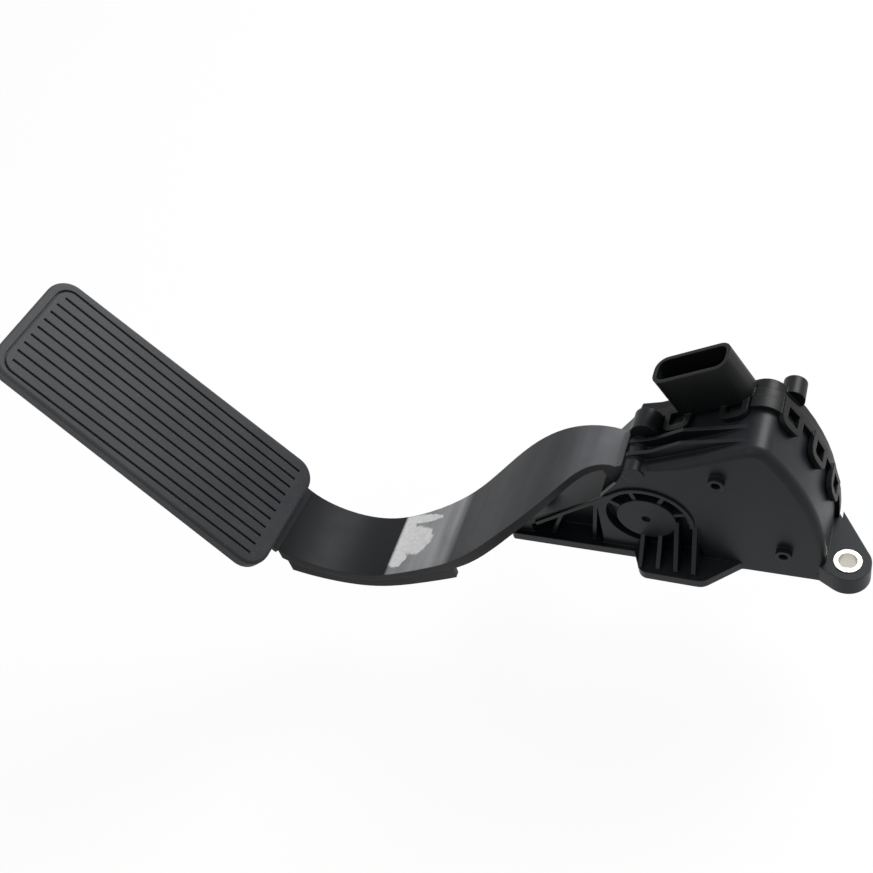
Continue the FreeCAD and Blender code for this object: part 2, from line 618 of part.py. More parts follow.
# Arm
def arm_curve(offset):
    """Line of the arm's tread side, moved inwards by a distance."""
    line = Part.BSplineCurve()
    line.interpolate([V(x, 0, z) for x, z in ARM_LINE])
    if offset == 0:
        return line
    moved = []
    for x, z in ARM_LINE:
        along = line.tangent(line.parameter(V(x, 0, z)))[0]
        moved.append(V(x, 0, z) + V(-along.z, 0, along.x) * offset)
    inner = Part.BSplineCurve()
    inner.interpolate(moved)
    return inner


def arm_sheet(top, bottom):
    """Slab between two depths under the tread side, wider than the arm."""
    first = arm_curve(top).toShape()
    second = arm_curve(bottom).toShape()
    ends = [Part.LineSegment(second.valueAt(second.LastParameter), first.valueAt(first.LastParameter)).toShape(),
            Part.LineSegment(first.valueAt(first.FirstParameter), second.valueAt(second.FirstParameter)).toShape()]
    face = Part.Face(Part.Wire(Part.__sortEdges__([first, second] + ends)))
    slab = face.extrude(V(0, 110, 0))
    slab.translate(V(0, -80, 0))
    return slab


def arm_plan(inset, low_x, high_x):
    """Arm seen from the driver, between its two curved edges."""
    far = Part.BSplineCurve()
    far.interpolate([V(x, y - inset, -40) for x, y in ARM_FAR_EDGE])
    near = Part.BSplineCurve()
    near.interpolate([V(x, y + inset, -40) for x, y in ARM_NEAR_EDGE])
    ends = [Part.LineSegment(far.StartPoint, near.StartPoint).toShape(), Part.LineSegment(far.EndPoint, near.EndPoint).toShape()]
    face = Part.Face(Part.Wire(Part.__sortEdges__([far.toShape(), near.toShape()] + ends)))
    return face.extrude(V(0, 0, 120)).common(box((low_x, -90, -60), (high_x, 40, 100)))


def pad_frame(body):
    """Move a body drawn along +X towards the tip of the pad, with its face up, to its place on the arm."""
    tip = V(math.cos(math.radians(PAD_ANGLE)), 0, math.sin(math.radians(PAD_ANGLE)))
    face = V(math.sin(math.radians(PAD_ANGLE)), 0, -math.cos(math.radians(PAD_ANGLE)))
    turn = FreeCAD.Rotation(tip, face.cross(tip), face, "XZY")
    yaw = FreeCAD.Rotation(V(0, 0, 1), -PAD_YAW)
    body.Placement = FreeCAD.Placement(V(*PAD_ROOT), turn * yaw)
    return body


def pad_outline(inset, radius):
    root = PAD_ROOT_W / 2 - inset
    tip = PAD_TIP_W / 2 - inset
    return rounded([(inset, -root, radius), (PAD_LENGTH - inset, -tip, radius), (PAD_LENGTH - inset, tip, radius),
                    (inset, root, radius)])


def knob_sites():
    return [(x, y) for x in (PAD_LENGTH * 0.2, PAD_LENGTH * 0.8) for y in (-PAD_TIP_W / 4, PAD_TIP_W / 4)]


def make_pad():
    body = prism_z(pad_outline(0, PAD_CORNER_R), -PAD_T, 0)
    body = body.makeFillet(PAD_EDGE_R, [e for e in body.Edges if abs(e.CenterOfMass.z) < 0.01])
    far = -PAD_TIP_W / 2 + GROOVE_BORDER
    cuts = []
    for i in range(GROOVES):
        y = far + i * GROOVE_PITCH
        start, end = ROOT_BORDER, PAD_LENGTH - GROOVE_BORDER - 2.6
        if i in (0, GROOVES - 1):
            end = PAD_LENGTH - GROOVE_BORDER - 6
        elif i in (1, GROOVES - 2):
            end = end - 1
        cuts.append(box((start, y - GROOVE_W / 2, -GROOVE_DEPTH), (end, y + GROOVE_W / 2, 1)))
    high = far + (GROOVES - 1) * GROOVE_PITCH
    loop_r = 6.0
    tip_x = PAD_LENGTH - GROOVE_BORDER
    half = GROOVE_W / 2
    outer = prism_z(rounded([(tip_x - 30, far - half, 0), (tip_x, far - half, loop_r), (tip_x, high + half, loop_r),
                             (tip_x - 30, high + half, 0)]), -GROOVE_DEPTH, 1)
    inner = prism_z(rounded([(tip_x - 31, far + half, 0), (tip_x - GROOVE_W, far + half, loop_r - GROOVE_W),
                             (tip_x - GROOVE_W, high - half, loop_r - GROOVE_W), (tip_x - 31, high - half, 0)]), -GROOVE_DEPTH - 1, 2)
    cuts.append(outer.cut(inner))
    body = body.cut(Part.makeCompound(cuts))
    for x, y in knob_sites():
        body = body.fuse(rod_z(x, y, KNOB_R, -PAD_T - FOOT_T, -PAD_T + 1))
        body = body.fuse(rod_z(x, y, KNOB_HEAD_R, -PAD_T - FOOT_T - KNOB_HEAD_T, -PAD_T - FOOT_T))
    return pad_frame(body.removeSplitter())


def foot_plate():
    """Flat end of the arm under the pad, with its stiffening ribs."""
    low = -PAD_T - FOOT_T
    plate = prism_z(pad_outline(FOOT_INSET, PAD_CORNER_R - 3), low, -PAD_T)
    ribs = []
    for y in (-7.5, 7.5):
        ribs.append(Part.Face(sharp([(0, low + 1), (0, low - ARM_RIB_DEPTH + 1), (PAD_LENGTH * 0.72, low - 1.5), (PAD_LENGTH * 0.72, low + 1)])))
        ribs[-1].rotate(V(0, 0, 0), V(1, 0, 0), 90)
        ribs[-1].translate(V(0, y, 0))
    solids = [r.extrude(V(0, ARM_RIB_T, 0)) for r in ribs]
    half = (ARM_FAR_EDGE[-1][1] - ARM_NEAR_EDGE[-1][1]) / 2
    middle = PAD_ROOT[1] - (ARM_FAR_EDGE[-1][1] + ARM_NEAR_EDGE[-1][1]) / 2
    solids.append(box((-FOOT_INSET, middle - half, low), (2 * FOOT_INSET, middle + half, -PAD_T)))
    body = fused(plate, solids)
    for x, y in knob_sites():
        body = body.cut(rod_z(x, y, KNOB_R + KNOB_GAP, low - 20, 0))
        body = body.cut(rod_z(x, y, KNOB_HEAD_R + KNOB_GAP, low - 20, low))
    return pad_frame(body)


def arm_hub():
    """Hub on the shaft, neck up to the arm and nose under the springs."""
    hub = rod_y(0, PIVOT_Z, HUB_R, HUB_NEAR_Y, HUB_FAR_Y)
    neck = box((0, -NECK_W / 2, -NECK_T / 2), (27.5, NECK_W / 2, NECK_T / 2))
    neck.rotate(V(0, 0, 0), V(0, 1, 0), -NECK_ANGLE)
    neck.translate(V(0, 0, PIVOT_Z))
    x, y = SPRING_SITE
    reach = OUTER_COIL_R + 1.4
    nose = box((0, HUB_NEAR_Y, PIVOT_Z - 6), (NOSE_R, HUB_FAR_Y, PIVOT_Z + 5.2))
    seat = box((x - reach, y - reach, PIVOT_Z + 1), (x + reach, y + reach, SPRING_LOW_Z - SEAT_GAP))
    nose = nose.fuse(seat).common(rod_y(0, PIVOT_Z, NOSE_R, -20, 20))
    pilot = rod_z(x, y, INNER_COIL_R - INNER_WIRE_R - 0.4, PIVOT_Z, SPRING_LOW_Z + 5)
    body = fused(hub, [neck, nose, pilot])
    for low, high in ((-30, HUB_NEAR_Y), (HUB_FAR_Y, 30)):
        body = body.cut(rod_y(0, PIVOT_Z, RIM_R + 0.6, low, high))
    return body.cut(rod_y(0, PIVOT_Z, SHAFT_R, -30, 30))


def make_arm():
    low_x = ARM_LINE[-1][0]
    plate = arm_sheet(0, ARM_T).common(arm_plan(0, low_x - 1, 0))
    ribs = []
    shallow = arm_sheet(ARM_T - 0.4, ARM_T + ARM_RIB_SHALLOW)
    deep = arm_sheet(ARM_T - 0.4, ARM_T + ARM_RIB_DEPTH)
    plan_deep = arm_plan(2.0, low_x - 1, ARM_DEEP_X)
    inner_deep = arm_plan(2.0 + ARM_RIB_T, low_x - 2, ARM_DEEP_X + 1)
    plan_shallow = arm_plan(2.0, ARM_DEEP_X - 0.5, -12.0)
    inner_shallow = arm_plan(2.0 + ARM_RIB_T, ARM_DEEP_X - 1, -11.0)
    ribs.append(deep.common(plan_deep.cut(inner_deep)))
    ribs.append(shallow.common(plan_shallow.cut(inner_shallow)))
    x = low_x + 8
    while x < -20:
        slab = box((x, -80, -60), (x + ARM_RIB_T, 30, 90))
        plan, sheet = (plan_deep, deep) if x < ARM_DEEP_X else (plan_shallow, shallow)
        ribs.append(sheet.common(plan.common(slab)))
        x += ARM_RIB_PITCH
    return fused(plate, ribs + [arm_hub(), foot_plate()])


# Springs and small pieces
def coil(radius, wire, turns):
    """Compression spring of round wire standing between its two seats."""
    x, y = SPRING_SITE
    low, high = SPRING_LOW_Z + wire, SPRING_HIGH_Z - wire
    steps = turns * COIL_STEPS
    sections = []
    for i in range(steps + 1):
        around = 2 * math.pi * i / COIL_STEPS
        out = V(math.cos(around), math.sin(around), 0)
        centre = V(x, y, low + (high - low) * i / steps) + out * radius
        corners = []
        for j in range(WIRE_SIDES):
            turn = 2 * math.pi * (j + 0.5) / WIRE_SIDES
            corners.append(centre + out * wire * math.cos(turn) + V(0, 0, wire * math.sin(turn)))
        sections.append(Part.makePolygon(corners + corners[:1]))
    return Part.makeLoft(sections, True, True)


def make_loop():
    """Copper lobes on the rotor that the board senses."""
    step = 360 / LOBES
    low = HUB_FAR_Y + ROTOR_T
    lobes = [sector(ROTOR_BORE_R + 2.4, ROTOR_R - 0.6, (90 + i * step, 90 + i * step + step / 2), low, low + LOOP_T)
             for i in range(LOBES)]
    ring = ring_y(0, PIVOT_Z, ROTOR_BORE_R + 2.8, ROTOR_BORE_R + 0.6, low, low + LOOP_T)
    return fused(ring, lobes)


def make_buffer():
    """Rubber stop for full travel, plugged into the roof of the tail."""
    slope = math.degrees(math.atan2(ROOF_END_Z - TAIL_TIP_Z, NECK_SIDE_X - TAIL_X))
    z = TAIL_TIP_Z + math.tan(math.radians(slope)) * (BUFFER_X - TAIL_X)
    dome = Part.makeCone(BUFFER_R, BUFFER_R * 0.7, BUFFER_H)
    dome.rotate(V(0, 0, 0), V(0, 1, 0), -slope)
    dome.translate(V(BUFFER_X, BUFFER_Y, z))
    return dome


os.makedirs("parts", exist_ok=True)
save("housing", make_housing())
save("sensor_cover", make_cover())
save("cover_seal", make_seal())
save("circuit_board", make_board())
save("sensor_chips", board_parts(CHIP_SITES, CHIP_SIZE))
save("capacitors", board_parts(CAPACITOR_SITES, CAPACITOR_SIZE))
save("terminal_pins", Part.makeCompound(pins()))
save("pedal_arm", make_arm())
save("pedal_pad", make_pad())
save("pivot_shaft", rod_y(0, PIVOT_Z, SHAFT_R, HUB_NEAR_Y - AXIAL_GAP - BUSH_LENGTH + 0.4, FAR_BEARING_Y + BUSH_LENGTH - 0.4))
save("near_bush", ring_y(0, PIVOT_Z, BUSH_R, SHAFT_R + RUNNING_GAP, HUB_NEAR_Y - AXIAL_GAP - BUSH_LENGTH, HUB_NEAR_Y - AXIAL_GAP))
save("far_bush", ring_y(0, PIVOT_Z, BUSH_R, SHAFT_R + RUNNING_GAP, FAR_BEARING_Y, FAR_BEARING_Y + BUSH_LENGTH))
save("rotor", ring_y(0, PIVOT_Z, ROTOR_R, ROTOR_BORE_R, HUB_FAR_Y, HUB_FAR_Y + ROTOR_T))
save("rotor_loop", make_loop())
save("outer_spring", coil(OUTER_COIL_R, OUTER_WIRE_R, OUTER_TURNS))
save("inner_spring", coil(INNER_COIL_R, INNER_WIRE_R, INNER_TURNS))
save("friction_shoe", sector(NOSE_R, SHOE_R, SHOE_SPAN, HUB_NEAR_Y, HUB_FAR_Y))
save("travel_buffer", make_buffer())
save("mount_sleeves", Part.makeCompound([
    rod_z(x, y, SLEEVE_R, 0, LUG_T + SLEEVE_PROUD).cut(rod_z(x, y, SLEEVE_BORE_R, -1, LUG_T + 2)) for x, y in LUG_SITES]))
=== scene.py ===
from math import cos, radians, sin, sqrt, tan
import bpy
import bmesh
from mathutils import Matrix, Vector


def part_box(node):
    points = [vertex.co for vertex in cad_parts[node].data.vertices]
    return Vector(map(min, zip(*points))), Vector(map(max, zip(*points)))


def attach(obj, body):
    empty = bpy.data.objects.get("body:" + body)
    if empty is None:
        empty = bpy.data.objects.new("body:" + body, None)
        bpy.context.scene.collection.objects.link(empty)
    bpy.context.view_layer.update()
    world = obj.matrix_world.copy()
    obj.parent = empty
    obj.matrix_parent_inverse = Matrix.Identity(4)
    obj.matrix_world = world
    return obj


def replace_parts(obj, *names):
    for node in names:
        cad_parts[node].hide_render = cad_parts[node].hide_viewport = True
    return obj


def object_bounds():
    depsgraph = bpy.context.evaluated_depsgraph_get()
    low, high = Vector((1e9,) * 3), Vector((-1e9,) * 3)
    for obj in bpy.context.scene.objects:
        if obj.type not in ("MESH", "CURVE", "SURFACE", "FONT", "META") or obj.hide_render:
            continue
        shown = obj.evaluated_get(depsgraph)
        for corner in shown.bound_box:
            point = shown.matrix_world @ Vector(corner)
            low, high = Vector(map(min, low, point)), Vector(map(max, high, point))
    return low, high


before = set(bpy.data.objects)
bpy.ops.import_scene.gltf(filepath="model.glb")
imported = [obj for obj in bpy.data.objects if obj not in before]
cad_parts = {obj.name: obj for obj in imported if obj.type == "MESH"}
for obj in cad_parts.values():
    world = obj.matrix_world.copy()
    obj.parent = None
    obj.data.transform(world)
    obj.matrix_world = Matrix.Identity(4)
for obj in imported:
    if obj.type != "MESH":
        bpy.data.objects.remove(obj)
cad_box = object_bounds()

MM = 0.001


# Housing and cover: the cup and its clipped lid are injection moulded in black glass-filled
# The tool was lightly spark eroded, so the skin is a fine satin grain, and years in a
# footwell leave thin dust on upward faces and rub the edges a little grey. That edge grey is
# also partly a painted highlight.
def linear(code, alpha=1.0):
    """Linear colour of an sRGB hex value."""
    parts = [int(code[i:i + 2], 16) / 255 for i in (1, 3, 5)]
    return [p / 12.92 if p <= 0.04045 else ((p + 0.055) / 1.055) ** 2.4 for p in parts] + [alpha]


def add(tree, kind, links=None, **settings):
    """Add a node, set its options, and link or set its inputs."""
    made = tree.nodes.new(kind)
    for name, value in settings.items():
        setattr(made, name, value)
    for name, value in (links or {}).items():
        socket = made.inputs[name]
        if isinstance(value, bpy.types.NodeSocket):
            tree.links.new(value, socket)
        else:
            socket.default_value = value
    return made


def new_material(name):
    """Empty material with its tree and its shader."""
    made = bpy.data.materials.new(name)
    made.use_nodes = True
    tree = made.node_tree
    tree.nodes.clear()
    shader = tree.nodes.new("ShaderNodeBsdfPrincipled")
    output = tree.nodes.new("ShaderNodeOutputMaterial")
    tree.links.new(shader.outputs[0], output.inputs[0])
    return made, tree, shader


def dress(node, material):
    """Give a CAD node its finish."""
    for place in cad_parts[node].material_slots:
        place.material = material


def per_mm(size):
    """Noise scale at which one cell is this many millimetres on Object coordinates."""
    return 1 / (size * MM)


def edge_wear_and_painted_highlight(tree, place, radius):
    """Rounded edge normal, and how far each point is an edge greyed partly by rubbing and partly
    by painted highlight, broken up by noise.
    """
    rounded = add(tree, "ShaderNodeBevel", {"Radius": radius}, samples=6).outputs[0]
    plain = add(tree, "ShaderNodeNewGeometry").outputs["Normal"]
    turn = add(tree, "ShaderNodeVectorMath", {0: rounded, 1: plain}, operation="DOT_PRODUCT")
    # Edge mask: partly rubbing, partly a painted highlight along rounded edges.
    edge = add(tree, "ShaderNodeMapRange",
               {"Value": turn.outputs["Value"], "From Min": 0.985, "From Max": 0.8})
    patchy = add(tree, "ShaderNodeTexNoise", {"Vector": place, "Scale": per_mm(9), "Detail": 4.0})
    broken = add(tree, "ShaderNodeMapRange",
                 {"Value": patchy.outputs["Fac"], "From Min": 0.35, "From Max": 0.65})
    rub_and_painted_highlight = add(tree, "ShaderNodeMath",
                 {0: edge.outputs[0], 1: broken.outputs[0]}, operation="MULTIPLY")
    return rounded, rub_and_painted_highlight.outputs[0]


def moulded_nylon(name, base, dusty, dust, roughness, gloss, grain_mm):
    """Black nylon with tool grain, cloudy dust on upward faces, and edges greyed partly by
    rubbing and partly by painted highlight.
    """
    made, tree, shader = new_material(name)
    place = add(tree, "ShaderNodeTexCoord").outputs["Object"]
    grain = add(tree, "ShaderNodeTexNoise",
                {"Vector": place, "Scale": per_mm(grain_mm), "Detail": 3.0})
    cloud = add(tree, "ShaderNodeTexNoise",
                {"Vector": place, "Scale": per_mm(28), "Detail": 6.0, "Roughness": 0.65})
    rounded, rub_and_painted_highlight = edge_wear_and_painted_highlight(tree, place, 0.45 * MM)
    facing = add(tree, "ShaderNodeSeparateXYZ", {"Vector": rounded})
    upward = add(tree, "ShaderNodeMapRange",
                 {"Value": facing.outputs["Z"], "From Min": -0.2, "From Max": 0.9})
    settle = add(tree, "ShaderNodeMapRange",
                 {"Value": cloud.outputs["Fac"], "From Min": 0.3, "From Max": 0.75})
    layer = add(tree, "ShaderNodeMath",
                {0: upward.outputs[0], 1: settle.outputs[0]}, operation="MULTIPLY")
    amount = add(tree, "ShaderNodeMath", {0: layer.outputs[0], 1: dust}, operation="MULTIPLY")
    tint = add(tree, "ShaderNodeMix",
               {"Factor": amount.outputs[0], "A": linear(base), "B": linear(dusty)},
               data_type="RGBA")
    # Edges mixed towards grey: partly rubbing, partly painted highlight.
    rub_and_highlight_share = add(tree, "ShaderNodeMath", {0: rub_and_painted_highlight, 1: 0.35}, operation="MULTIPLY")
    worn_and_highlit = add(tree, "ShaderNodeMix",
               {"Factor": rub_and_highlight_share.outputs[0], "A": tint.outputs["Result"], "B": linear("#4d4e51")},
               data_type="RGBA")
    tree.links.new(worn_and_highlit.outputs["Result"], shader.inputs["Base Color"])
    matt = add(tree, "ShaderNodeMapRange",
               {"Value": cloud.outputs["Fac"], "From Min": 0.3, "From Max": 0.7,
                "To Min": roughness - 0.06, "To Max": roughness + 0.08})
    tree.links.new(matt.outputs[0], shader.inputs["Roughness"])
    bump = add(tree, "ShaderNodeBump",
               {"Height": grain.outputs["Fac"], "Strength": 0.25, "Distance": 0.06 * MM,
                "Normal": rounded})
    tree.links.new(bump.outputs[0], shader.inputs["Normal"])
    shader.inputs["IOR"].default_value = 1.53
    shader.inputs["Specular IOR Level"].default_value = gloss
    return made


housing_nylon = moulded_nylon("black_glass_filled_nylon", "#0d1115", "#3e3f42", dust=0.3,
                              roughness=0.37, gloss=0.16, grain_mm=0.7)
cover_nylon = moulded_nylon("black_cover_nylon", "#0c0d0e", "#38393b", dust=0.25,
                            roughness=0.38, gloss=0.12, grain_mm=0.6)
dress("housing", housing_nylon)
dress("sensor_cover", cover_nylon)


# Cover as the photograph has it: a shallow black tray with a flange at the seam, clip hooks
# over the wall, a strap round the corner and the plug socket, a shroud with rounded corners
# that stands on the sloping wall. Raised from outlines, it replaces the plainer CAD cover.
def outline(corners, steps=6):
    """Closed outline through (u, v, radius) corners, each turned with a short arc."""
    loop = []
    for i, (u, v, r) in enumerate(corners):
        here = Vector((u, v))
        back = (Vector(corners[i - 1][:2]) - here).normalized()
        on = (Vector(corners[(i + 1) % len(corners)][:2]) - here).normalized()
        if not r:
            loop.append(here)
            continue
        half = back.angle(on) / 2
        middle = here + (back + on).normalized() * (r / sin(half))
        first = here + back * (r / tan(half)) - middle
        last = here + on * (r / tan(half)) - middle
        sweep = first.angle_signed(last)
        for k in range(steps + 1):
            loop.append(middle + Matrix.Rotation(-sweep * k / steps, 2) @ first)
    return loop


def only(found, kind):
    """What an operator returned, of one kind."""
    return [piece for piece in found["geom"] if isinstance(piece, kind)]


def mould(work, loop, place, height, wall=0, sink=0):
    """Raise an outline in a frame. A wall alone leaves a frame, a wall and a sink leave a cup."""
    count = len(work.verts)
    foot = work.faces.new([work.verts.new((p.x, p.y, 0)) for p in loop])
    foot.normal_update()
    raised = bmesh.ops.extrude_face_region(work, geom=[foot])
    bmesh.ops.translate(work, verts=only(raised, bmesh.types.BMVert), vec=(0, 0, height))
    top = only(raised, bmesh.types.BMFace)[0]
    if wall:
        bmesh.ops.inset_region(work, faces=[top], thickness=wall, use_even_offset=True)
    if sink:
        sunk = bmesh.ops.extrude_face_region(work, geom=[top])
        bmesh.ops.translate(work, verts=only(sunk, bmesh.types.BMVert), vec=(0, 0, -sink))
        bmesh.ops.delete(work, geom=[top], context="FACES_ONLY")
    elif wall:
        bmesh.ops.inset_region(work, faces=[foot], thickness=wall, use_even_offset=True)
        ends = list(foot.edges) + list(top.edges)
        bmesh.ops.delete(work, geom=[foot, top], context="FACES_ONLY")
        bmesh.ops.bridge_loops(work, edges=ends)
    work.verts.ensure_lookup_table()
    bmesh.ops.transform(work, matrix=place, verts=work.verts[count:])


def moulding(name, work, material):
    """Turn a mesh drawn in millimetres into a piece that is fixed to the base."""
    bmesh.ops.recalc_face_normals(work, faces=work.faces)
    bmesh.ops.scale(work, verts=work.verts, vec=(MM, MM, MM))
    mesh = bpy.data.meshes.new(name)
    work.to_mesh(mesh)
    work.free()
    mesh.materials.append(material)
    mesh.shade_smooth()
    mesh.set_sharp_from_angle(angle=radians(32))
    made = bpy.data.objects.new(name, mesh)
    bpy.context.scene.collection.objects.link(made)
    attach(made, "base")
    return made


top_slope = radians(26.3)
top_start = (0.9, 52.7)
wall_middle = (-30.0, 12.0)
wall_radius = 94.8
corner_radius = 7.0


def wall_frame(angle):
    """Frame on the curved wall: along it, across the car, and out."""
    a = radians(angle)
    return Matrix((
        (sin(a), 0, cos(a), wall_middle[0] + wall_radius * cos(a)),
        (0, 1, 0, 0),
        (-cos(a), 0, sin(a), wall_middle[1] + wall_radius * sin(a)),
        (0, 0, 0, 1)))


def side_frame(y):
    """Frame whose outlines are (x, z) and rise towards the open side."""
    return Matrix(((1, 0, 0, 0), (0, 0, -1, y), (0, 1, 0, 0), (0, 0, 0, 1)))


def top_frame(along, out):
    """Frame on the sloping wall: along it, across the car, and out."""
    return Matrix((
        (cos(top_slope), 0, -sin(top_slope), top_start[0]),
        (0, 1, 0, 0),
        (sin(top_slope), 0, cos(top_slope), top_start[1]),
        (0, 0, 0, 1))) @ Matrix.Translation((along, 0, out))


def drum(out, low=4.4):
    """Outline of the sensor drum, moved out: sloping top, rounded corner, curved wall, neck."""
    start = top_frame(0, out).translation
    dx, dz, r = start.x - wall_middle[0], start.z - wall_middle[1], wall_radius + out
    b = dx * cos(top_slope) + dz * sin(top_slope)
    corner = top_frame(-b + sqrt(b * b - dx * dx - dz * dz + r * r), out).translation
    walls = [(wall_middle[0] + r * cos(radians(a)), wall_middle[1] + r * sin(radians(a)), 0)
             for a in (33, 29, 25, 21, 17, 13, 9, 5, 1, -2)]
    heel = (wall_middle[0] + sqrt(r * r - (low - wall_middle[1]) ** 2), low, 0)
    neck = [(-17.0, low, 0), (-17.0, 33.4, 0), (-9.5, 43.6, 0), (-6.4, 50.6, 0)]
    return outline([(start.x, start.z, 0), (corner.x, corner.z, corner_radius + out)]
                   + walls + [heel] + neck)


def bar(u0, u1, v0, v1, r):
    """Rectangle with rounded corners."""
    return outline([(u0, v0, r), (u1, v0, r), (u1, v1, r), (u0, v1, r)])


cover_back, cover_depth, cover_wall, cover_hollow = 22.4, 9.6, 2.2, 7.4
flange_back, flange_depth, flange_out = 16.8, 4.0, 1.8
strap_back, strap_depth, strap_under, strap_over = 13.4, 5.4, 0.4, 2.0
hook_leg, hook_thick, hook_gap, hook_corner = 2.4, 2.0, 0.35, 3.5
hook_half, hook_end, hook_root = 5.5, 4.3, 15.0
root_sunk, root_height = 1.0, 2.4
socket_foot, socket_height, socket_wall, socket_hollow = 1.2, 18.8, 1.5, 11.0
post_at, post_radii, post_length = (48.4, 24.4, 63.5), (4.4, 4.2), 8.0

cover = bmesh.new()
mould(cover, drum(0), side_frame(cover_back), cover_depth, wall=cover_wall, sink=cover_hollow)
mould(cover, drum(flange_out), side_frame(flange_back), flange_depth, wall=cover_wall)
corner_arc = slice(1, 8)
strap = drum(strap_over)[corner_arc] + drum(strap_under)[corner_arc][::-1]
mould(cover, strap, side_frame(strap_back), strap_depth)
hook = outline([(-hook_half, hook_end, hook_corner), (hook_half, hook_end, hook_corner),
                (hook_half, hook_root, 0), (-hook_half, hook_root, 0)])
for along in (11.0, 34.0):
    mould(cover, hook, top_frame(along, hook_gap), hook_thick, wall=hook_leg)
for angle in (34.0, 23.0, 12.0):
    lifted = wall_frame(angle) @ Matrix.Translation((0, 0, hook_gap))
    mould(cover, hook, lifted, hook_thick, wall=hook_leg)
socket_root = bar(10.9, 39.5, 13.0, 22.4, 3.0)
mould(cover, socket_root, top_frame(0, -root_sunk), root_height)
shroud = bar(9.9, 40.5, 10.5, 23.1, 4.8)
mould(cover, shroud, top_frame(0, socket_foot), socket_height, wall=socket_wall,
      sink=socket_hollow)
post = bmesh.ops.create_cone(cover, cap_ends=True, segments=40, radius1=post_radii[0],
                             radius2=post_radii[1], depth=post_length)["verts"]
across = Matrix.Translation(post_at) @ Matrix.Rotation(radians(-90), 4, "X")
bmesh.ops.transform(cover, matrix=across, verts=post)
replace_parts(moulding("cover_with_socket", cover, cover_nylon), "sensor_cover")


# Rim of the bearing pocket and foot of the side ribs: edges of the housing moulding that the
# photograph shows and the CAD housing leaves flat. The rim is an arch about the pivot that runs
# on down the tail, and the foot is the bulge of the base plate under the four ribs.
pivot_z, rim_over, rim_under = 24.3, 17.9, 16.3
rim_back, rim_depth, foot_up, foot_thick = -10.9, 1.1, 0.1, 4.0

rim = bmesh.new()
arch = [Vector((rim_over * cos(radians(a)), pivot_z + rim_over * sin(radians(a))))
        for a in range(-6, 133, 6)]
arch += [Vector((-46.0, 11.6)), Vector((-45.2, 10.2))]
arch += [Vector((rim_under * cos(radians(a)), pivot_z + rim_under * sin(radians(a))))
         for a in range(126, -7, -6)]
mould(rim, arch, side_frame(rim_back), rim_depth)
bulge = outline([(-6.2, -13.2, 3.0), (-2.0, -22.2, 4.0), (22.0, -22.5, 6.0), (34.5, -11.4, 0),
                 (-6.2, -11.4, 0)])
mould(rim, bulge, Matrix.Translation((0, 0, foot_up)), foot_thick)
moulding("housing_rim", rim, housing_nylon)


# Seal and buffer: black nitrile rubber. The seal is a flat ring clamped in the seam between
# cup and cover, and the buffer is a moulded stub pressed into the tail. Both are dull and dark.
def plain_rubber(name, base, roughness, grain_mm):
    """Dull rubber with a slightly uneven skin."""
    made, tree, shader = new_material(name)
    place = add(tree, "ShaderNodeTexCoord").outputs["Object"]
    skin = add(tree, "ShaderNodeTexNoise",
               {"Vector": place, "Scale": per_mm(grain_mm), "Detail": 4.0})
    tone = add(tree, "ShaderNodeMix",
               {"Factor": skin.outputs["Fac"], "A": linear(base), "B": linear("#2c2c2d")},
               data_type="RGBA")
    tree.links.new(tone.outputs["Result"], shader.inputs["Base Color"])
    bump = add(tree, "ShaderNodeBump",
               {"Height": skin.outputs["Fac"], "Strength": 0.3, "Distance": 0.05 * MM})
    tree.links.new(bump.outputs[0], shader.inputs["Normal"])
    shader.inputs["Roughness"].default_value = roughness
    shader.inputs["Specular IOR Level"].default_value = 0.25
    return made


nitrile = plain_rubber("black_nitrile_rubber", "#0c0c0d", 0.75, 0.8)
dress("cover_seal", nitrile)
dress("travel_buffer", nitrile)


# Fixing sleeves, shaft and springs: rolled steel rings moulded into the lugs so that screws
# clamp metal, a ground shaft and two coils of drawn wire. Zinc plating gives the rings a warm
# bright grey, uneven where it has dulled.
def plated_steel(name, base, roughness, patch_mm):
    """Bright metal, duller and rougher in patches."""
    made, tree, shader = new_material(name)
    place = add(tree, "ShaderNodeTexCoord").outputs["Object"]
    dulled = add(tree, "ShaderNodeTexNoise",
                 {"Vector": place, "Scale": per_mm(patch_mm), "Detail": 3.0})
    tone = add(tree, "ShaderNodeMix",
               {"Factor": dulled.outputs["Fac"], "A": linear(base), "B": linear("#d9d6cc")},
               data_type="RGBA")
    tree.links.new(tone.outputs["Result"], shader.inputs["Base Color"])
    matt = add(tree, "ShaderNodeMapRange",
               {"Value": dulled.outputs["Fac"], "To Min": roughness - 0.08,
                "To Max": roughness + 0.1})
    tree.links.new(matt.outputs[0], shader.inputs["Roughness"])
    shader.inputs["Metallic"].default_value = 1.0
    return made


zinc = plated_steel("zinc_plated_steel", "#c4c1b6", 0.3, 0.5)
dress("mount_sleeves", zinc)
dress("pivot_shaft", zinc)
spring_wire = plated_steel("drawn_spring_wire", "#85868a", 0.35, 0.4)
dress("outer_spring", spring_wire)
dress("inner_spring", spring_wire)


# Bearings, rotor and friction shoe: natural acetal, moulded, an off-white waxy
# plastic that slides dry on steel and nylon.
def acetal(name, base):
    """Waxy plastic, slightly clouded."""
    made, tree, shader = new_material(name)
    place = add(tree, "ShaderNodeTexCoord").outputs["Object"]
    cloud = add(tree, "ShaderNodeTexNoise", {"Vector": place, "Scale": per_mm(6), "Detail": 3.0})
    tone = add(tree, "ShaderNodeMix",
               {"Factor": cloud.outputs["Fac"], "A": linear(base), "B": linear("#d8d3c4")},
               data_type="RGBA")
    tree.links.new(tone.outputs["Result"], shader.inputs["Base Color"])
    shader.inputs["Roughness"].default_value = 0.38
    shader.inputs["IOR"].default_value = 1.48
    return made


natural_acetal = acetal("natural_acetal", "#e6e2d6")
for node in ("near_bush", "far_bush", "rotor", "friction_shoe"):
    dress(node, natural_acetal)


